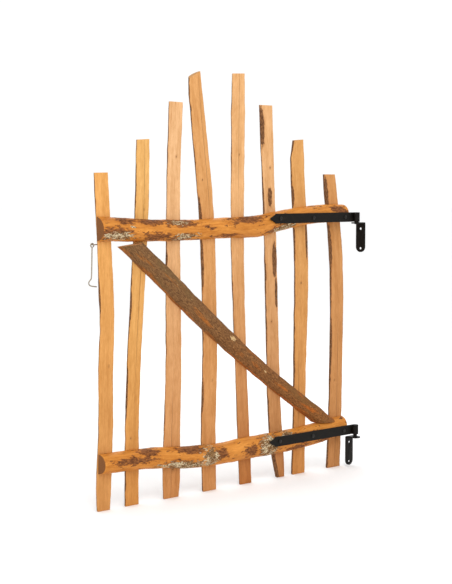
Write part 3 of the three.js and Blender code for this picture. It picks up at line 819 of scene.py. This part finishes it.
def make_rail(node, bark, lichen, knots, materials):
    low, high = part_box(node)
    z = (low.z + high.z) / 2
    timber = Timber(node, Vector((low.x, high.y, z)), Vector((high.x, high.y, z)), Z, -Y)
    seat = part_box(node.replace("rail", "strap"))[0].x - low.x - STRAP_MARGIN
    base_shape = timber_shape(0.5 * MM, 1.9 * MM, 1.6 * MM)

    def ends(k):
        return 0.0, timber.length

    def shape(s, c, o, half, depth, seed):
        across, out = base_shape(s, c, o, half, depth, seed)
        if o > 0:
            out += o * BARK_RISE * (min(patch_cover(bark, s, c), 1.0) - 1)
        if s > seat and o > 0.7:
            out = min(out, 0.0)
        return across, out

    def dress(s, c, o, across):
        warm = 0.5 + 0.5 * noise.noise(Vector((s * 6, c * 1.2, z * 9)))
        tint = PEELED_DARK.lerp(PEELED, 0.45 + 0.75 * warm)
        if o == 0.0:
            return tint.lerp(TAN, 0.6), 0.0, 0.0, 0.0, FAR
        return tint, patch_cover(bark, s, c), patch_cover(lichen, s, c), knot_field(knots, s, across), FAR

    piece = skin(f"{node}_wood", timber, ends, shape, dress, materials)
    place_piece(piece, "leaf", "peeled_rail", node)


def make_brace(materials):
    low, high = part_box("brace")
    tree = tree_of("brace")
    # two level sections of the brace give its direction
    spots = []
    for level in (low.z + BRACE_LEVEL, high.z - BRACE_LEVEL):
        left, right = sides_at(tree, high.y - RAY_INSET, level)
        spots.append(Vector(((left + right) / 2, high.y, level)))
    axis = (spots[0] - spots[1]).normalized()
    across = Vector((-axis.z, 0, axis.x))
    start = spots[1] - axis * ((high.z - spots[1].z) / -axis.z)
    end = spots[0] + axis * ((spots[0].z - low.z) / -axis.z)
    timber = Timber("brace", start, end, across, -Y, BRACE_INSET)
    peak = max((v.co for v in NODES["brace"].data.vertices), key=lambda v: v.z)

    def cut(c, s, level, slope):
        for _ in range(12):
            place = timber.point(s, c, 0)
            s += (place.z - level - slope * (place.x - peak.x)) / -axis.z
        return s

    limits = []
    for c, o in section():
        foot = low.z + BRACE_FOOT_RISE * (1 - o) ** 2  # it sits on the round of the lower rail
        limits.append((cut(c, 0.0, peak.z, BRACE_TOP_SLOPE), cut(c, timber.length, foot, 0.0)))

    def ends(k):
        return limits[k]

    def dress(s, c, o, across):
        ragged = 0.16 * noise.noise(Vector((s * 14, c * 2, 3.3)))
        edge = max(0.0, abs(c) - 0.86) * 1.8
        down = s / timber.length
        tint = BRACE_HEAD.lerp(BRACE_TAIL, min(max(down * 1.5 - 0.35, 0.0), 1.0))
        chips = patch_cover(BRACE_CHIPS, s, c)
        return tint, 1.0 - edge + ragged if o > 0 else 0.1, chips, 0.0, FAR

    shape = timber_shape(0.6 * MM, 1.2 * MM, 2.0 * MM)
    piece = skin("brace_wood", timber, ends, shape, dress, materials)
    place_piece(piece, "leaf", "bark_brace", "brace")


# ---------------- turned and bent metal
def lathe(name, profile, segments):
    """A closed body of revolution about Y from (radius, y) pairs that start and end on it."""
    bm = bmesh.new()
    rings = []
    for radius, y in profile:
        if radius == 0:
            rings.append([bm.verts.new((0, y, 0))])
            continue
        ring = []
        for k in range(segments):
            angle = 2 * math.pi * k / segments
            ring.append(bm.verts.new((radius * math.cos(angle), y, radius * math.sin(angle))))
        rings.append(ring)
    for a, b in zip(rings, rings[1:]):
        for k in range(segments):
            n = (k + 1) % segments
            corners = [a[k % len(a)], a[n % len(a)], b[n % len(b)], b[k % len(b)]]
            bm.faces.new(list(dict.fromkeys(corners)))
    mesh = smooth_mesh(bm, name)
    mesh.set_sharp_from_angle(angle=math.radians(40))
    return mesh


def cross_recess(mesh, top, out, span, width):
    """The mesh with a driver's cross cut into its head at y = top, which faces out along Y."""
    holder = linked(mesh.name, mesh)
    bars = []
    for turned in (False, True):
        bm = bmesh.new()
        bmesh.ops.create_cube(bm, size=1)
        height = 2 * SLOT_DEPTH
        sides = (width, height, span) if turned else (span, height, width)
        bmesh.ops.scale(bm, vec=sides, verts=bm.verts)
        bmesh.ops.translate(bm, vec=(0, top, 0), verts=bm.verts)
        for v in bm.verts:  # the slots narrow as they go in
            if (v.co.y - top) * out < 0:
                v.co.x *= 0.55
                v.co.z *= 0.55
        bars.append(linked("slot", mesh_of(bm, "slot")))
    cut_away(holder, bars)
    made = holder.data
    bpy.data.objects.remove(holder)
    made.set_sharp_from_angle(angle=math.radians(40))
    return made


def sunk_screw_mesh(length):
    """A countersunk screw along -Y, with the top of its head at y = 0."""
    profile = [
        (0, 0), (SUNK_HEAD - 0.3 * MM, 0), (SUNK_HEAD, -0.3 * MM), (SUNK_HEAD, -0.7 * MM),
        (SCREW_SHANK, -3 * MM),
    ]
    root = 0.82 * SCREW_SHANK
    y = -12 * MM
    while y > -length + 8 * MM:  # a thread as a stack of ridges
        profile += [(root, y), (SCREW_SHANK, y - THREAD / 2)]
        y -= THREAD
    profile += [(root, y), (0.3 * MM, -length + 0.2 * MM), (0, -length)]
    return cross_recess(lathe("sunk_screw", profile, 24), 0.0, 1, 5.0 * MM, 1.1 * MM)


def pan_screw_mesh(length):
    """The head is a low dome towards -Y, with its underside at y = 0."""
    profile = [(0, -PAN_RISE)]
    dome_steps = 8
    for k in range(1, dome_steps + 1):
        angle = math.pi / 2 * k / dome_steps
        rise = 0.25 + 0.75 * math.cos(angle) ** 0.75
        profile.append((PAN_HEAD * math.sin(angle) ** 0.8, -PAN_RISE * rise))
    profile += [
        (PAN_HEAD, -0.1 * MM), (PAN_HEAD - 0.1 * MM, 0), (SCREW_SHANK, 0),
        (SCREW_SHANK, length - 6 * MM), (0, length),
    ]
    return cross_recess(lathe("pan_screw", profile, 32), -PAN_RISE, -1, 5.2 * MM, 1.2 * MM)


def add_object(name, mesh, paint, place=(0, 0, 0)):
    if not mesh.materials:
        mesh.materials.append(paint)
    piece = linked(name, mesh)
    piece.location = place
    return piece


def make_screws(zinc, iron):
    meshes = {}
    for node in sorted(n for n in NODES if "_screw_" in n and "eye" not in n):
        low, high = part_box(node)
        x, z = (low.x + high.x) / 2, (low.z + high.z) / 2
        on_strap = "strap" in node
        length = round(high.y - low.y, 4)
        if (on_strap, length) not in meshes:
            maker = pan_screw_mesh if on_strap else sunk_screw_mesh
            meshes[on_strap, length] = maker(length - PAN_RISE if on_strap else length)
        y = low.y + PAN_RISE if on_strap else high.y
        paint, slot = (iron, "black_iron") if on_strap else (zinc, "zinc_screw")
        piece = add_object(f"{node}_body", meshes[on_strap, length], paint, (x, y, z))
        place_piece(piece, "leaf", slot, node)


def bevelled(name, mesh, paint):
    """An object with every sharp edge of the mesh rounded."""
    piece = add_object(name, mesh, paint)
    bevel = piece.modifiers.new("edges", "BEVEL")
    bevel.width = IRON_EDGE
    bevel.segments = 3
    bevel.limit_method = "ANGLE"
    bevel.angle_limit = math.radians(35)
    bevel.harden_normals = True
    apply_modifiers(piece)
    for polygon in piece.data.polygons:
        polygon.use_smooth = True
    return piece


def clean_copy(node):
    """The CAD node's mesh with its corners joined and its flat triangles merged."""
    bm = bmesh.new()
    bm.from_mesh(NODES[node].data)
    bmesh.ops.remove_doubles(bm, verts=bm.verts, dist=1e-6)
    bmesh.ops.dissolve_limit(bm, angle_limit=math.radians(1), verts=bm.verts, edges=bm.edges)
    for face in bm.faces:
        face.smooth = True
    return mesh_of(bm, node)


def strap_mesh(node, hinge):
    """The pointed strap and its rolled eye, extruded along Z from a fine outline."""
    low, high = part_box(node)
    length = hinge.x - low.x
    outer = EYE_BORE + STRAP_THICK
    root_x, tip_x = STRAP_POINT - length, -length
    steps = 56
    outline = [(root_x, outer)]
    for radius, backwards in ((outer, False), (EYE_BORE, True)):
        for k in range(steps + 1):
            turn = (steps - k if backwards else k) / steps
            angle = math.radians(90 - EYE_SWEEP * turn)
            outline.append((radius * math.cos(angle), radius * math.sin(angle)))
    outline.append((root_x, EYE_BORE))
    half = (high.z - low.z) / 2
    middle = Vector((hinge.x, hinge.y, (high.z + low.z) / 2))
    bm = bmesh.new()
    layers = []
    for side in (-1, 1):
        layers.append([bm.verts.new(middle + Vector((x, y, side * half))) for x, y in outline])
    bottom, top = layers
    bm.faces.new(bottom)
    bm.faces.new(list(reversed(top)))
    for k in range(len(outline) - 1):
        bm.faces.new((bottom[k], top[k], top[k + 1], bottom[k + 1]))
    # the point: its shoulders step in, then it narrows to the tip
    neck = half - STRAP_SHOULDER
    front = [bottom[-1], top[-1]]
    back = [bottom[0], top[0]]
    shoulder, tip = [], []
    for y in (EYE_BORE, outer):
        shoulder.append([bm.verts.new(middle + Vector((root_x, y, z))) for z in (-neck, neck)])
        tip.append([bm.verts.new(middle + Vector((tip_x, y, z))) for z in (-STRAP_TIP, STRAP_TIP)])
    for inner, point in zip(shoulder, tip):
        bm.faces.new((inner[0], inner[1], point[1], point[0]))
    for side in (0, 1):
        bm.faces.new((front[side], back[side], shoulder[1][side], shoulder[0][side]))
        bm.faces.new((shoulder[0][side], shoulder[1][side], tip[1][side], tip[0][side]))
    bm.faces.new((tip[0][0], tip[0][1], tip[1][1], tip[1][0]))
    # the strap's flat sides meet the point between the shoulders
    for pair, inner in ((front, shoulder[0]), (back, shoulder[1])):
        edge = bm.edges.get(pair)
        for face in list(edge.link_faces):
            corners = list(face.verts)
            first, second = corners.index(pair[0]), corners.index(pair[1])
            bm.faces.remove(face)
            if (first + 1) % len(corners) == second:
                corners[first + 1:first + 1] = [inner[0], inner[1]]
            else:
                corners[second + 1:second + 1] = [inner[1], inner[0]]
            bm.faces.new(corners)
    return smooth_mesh(bm, node)


def make_ironwork(iron):
    hinge = Vector(JOINTS["gate_swing"]["pos_m"])
    pins = {"upper": "upper_pintle", "lower": "lower_pintle"}
    for name, body in pins.items():
        strap = bevelled(f"{name}_strap_iron", strap_mesh(f"{name}_strap", hinge), iron)
        place_piece(strap, "leaf", "black_iron", f"{name}_strap")
        plate = bevelled(f"{name}_pintle_plate_iron", clean_copy(f"{name}_pintle_plate"), iron)
        place_piece(plate, body, "black_iron", f"{name}_pintle_plate")
        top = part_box(f"{name}_pintle_pin")[1].z
        turned = lathe("pintle_pin", [(r * MM, y * MM) for r, y in PIN_PROFILE], 48)
        foot = (hinge.x, hinge.y, top - PIN_TOP * MM)
        pin = add_object(f"{name}_pintle_pin_iron", turned, iron, foot)
        pin.rotation_euler = (math.pi / 2, 0, 0)
        place_piece(pin, body, "black_iron", f"{name}_pintle_pin")


# ---------------- wire
def smooth_path(points, per_span=6):
    """Points on a centripetal Catmull-Rom curve through the given ones."""
    path = []
    padded = [2 * points[0] - points[1], *points, 2 * points[-1] - points[-2]]
    for p0, p1, p2, p3 in zip(padded, padded[1:], padded[2:], padded[3:]):
        t = [0.0]
        for a, b in ((p0, p1), (p1, p2), (p2, p3)):
            t.append(t[-1] + max((b - a).length, 1e-6) ** 0.5)
        for k in range(per_span):
            u = t[1] + (t[2] - t[1]) * k / per_span
            a1 = p0.lerp(p1, (u - t[0]) / (t[1] - t[0]))
            a2 = p1.lerp(p2, (u - t[1]) / (t[2] - t[1]))
            a3 = p2.lerp(p3, (u - t[2]) / (t[3] - t[2]))
            b1 = a1.lerp(a2, (u - t[0]) / (t[2] - t[0]))
            b2 = a2.lerp(a3, (u - t[1]) / (t[3] - t[1]))
            path.append(b1.lerp(b2, (u - t[1]) / (t[2] - t[1])))
    return [*path, points[-1]]


def wire_mesh(name, points, radius, sides=16):
    """A round wire along the points, with domed ends."""
    path = smooth_path(points)
    directions = []
    for k in range(len(path)):
        ahead, behind = path[min(k + 1, len(path) - 1)], path[max(k - 1, 0)]
        directions.append((ahead - behind).normalized())
    side = directions[0].orthogonal().normalized()
    rings = []
    dome = [(0.0, 1.0), (0.5, 0.866), (0.866, 0.5)]  # (how far out, ring size), in radii
    for k, (place, direction) in enumerate(zip(path, directions)):
        if k:
            side = directions[k - 1].rotation_difference(direction) @ side
        ring_sets = [(0.0, 1.0)]
        if k == 0:
            ring_sets = [(-out, size) for out, size in reversed(dome)]
        elif k == len(path) - 1:
            ring_sets = dome
        for out, size in ring_sets:
            centre = place + direction * out * radius
            turn = direction.cross(side)
            ring = []
            for n in range(sides):
                angle = 2 * math.pi * n / sides
                ring.append(centre + (side * math.cos(angle) + turn * math.sin(angle)) * radius * size)
            rings.append(ring)
    bm = bmesh.new()
    made = [[bm.verts.new(v) for v in ring] for ring in rings]
    for a, b in zip(made, made[1:]):
        for n in range(sides):
            m = (n + 1) % sides
            bm.faces.new((a[n], a[m], b[m], b[n]))
    for ring, place, outward in (
        (made[0], path[0], -directions[0]),
        (made[-1], path[-1], directions[-1]),
    ):
        tip = bm.verts.new(place + outward * radius)
        for n in range(sides):
            bm.faces.new((ring[n], ring[(n + 1) % sides], tip))
    return smooth_mesh(bm, name)


def make_hook(zinc):
    pivot = Vector(JOINTS["hook_swing"]["pos_m"])
    first, last = map(math.radians, HOOK_RING_SWEEP)
    steps = 18
    points = []
    for k in range(steps + 1):
        angle = first + (last - first) * k / steps
        height = WIRE_RING * math.sin(angle) - HOOK_SAG
        points.append(pivot + Vector((WIRE_RING * math.cos(angle), 0, height)))
    points += [pivot + Vector((x * MM, 0, z * MM)) for x, z in HOOK_ROD]
    hook = add_object("cabin_hook_wire", wire_mesh("cabin_hook_wire", points, HOOK_WIRE), zinc)
    place_piece(hook, "hook", "zinc_wire", "cabin_hook")

    sweep = math.radians(SCREW_EYE_SWEEP)
    steps = 22
    points = []
    for k in range(steps + 1):
        angle = sweep / 2 + math.pi - sweep * k / steps - math.radians(SCREW_EYE_TURN)
        across = WIRE_RING + WIRE_RING * math.cos(angle)
        points.append(pivot + Vector((across, WIRE_RING * math.sin(angle), 0)))
    points += [pivot + Vector((x * MM, y * MM, 0)) for x, y in SCREW_EYE_SHANK]
    eye = add_object("hook_screw_eye_wire", wire_mesh("hook_screw_eye_wire", points, EYE_WIRE), zinc)
    place_piece(eye, "leaf", "zinc_wire", "hook_screw_eye")


# ---------------- the gate
add_camera()
add_studio()

picket_wood = timber_material(
    "sawn_picket_wood", 1.35, 0.62, 0.9, 0.8, (0.066, 0.027, 0.011, 1), (0.250, 0.112, 0.045, 1)
)
rail_wood = timber_material(
    "peeled_rail_wood", 1.75, 0.5, 2.3, 0.60, (0.090, 0.030, 0.011, 1), (0.290, 0.105, 0.030, 1)
)
brace_wood = brace_material()
sawn_end = end_grain_material("sawn_end", (0.66, 0.37, 0.15, 1), (0.36, 0.17, 0.06, 1), 2600)
dark_end = end_grain_material("dark_end", (0.27, 0.105, 0.030, 1), (0.12, 0.045, 0.015, 1), 2200)
brace_end = end_grain_material("brace_end", (0.62, 0.34, 0.13, 1), (0.38, 0.17, 0.06, 1), 2600)
black = iron_material("black_powder_coat", 0.14, 0.44)
black_screw = iron_material("black_screw_coat", 0.3, 0.22)
screw_zinc = zinc_material("screw_zinc", (0.62, 0.58, 0.50, 1), (0.40, 0.37, 0.31, 1), 0.35)
wire_zinc = zinc_material("wire_zinc", (0.40, 0.34, 0.27, 1), (0.20, 0.165, 0.125, 1), 0.42)

for number in range(1, PICKET_COUNT + 1):
    make_picket(number, (picket_wood, sawn_end))
make_rail("upper_rail", UPPER_BARK, UPPER_LICHEN, UPPER_KNOTS, (rail_wood, dark_end))
make_rail("lower_rail", LOWER_BARK, LOWER_LICHEN, LOWER_KNOTS, (rail_wood, dark_end))
make_brace((brace_wood, brace_end))
make_screws(screw_zinc, black_screw)
make_ironwork(black)
make_hook(wire_zinc)
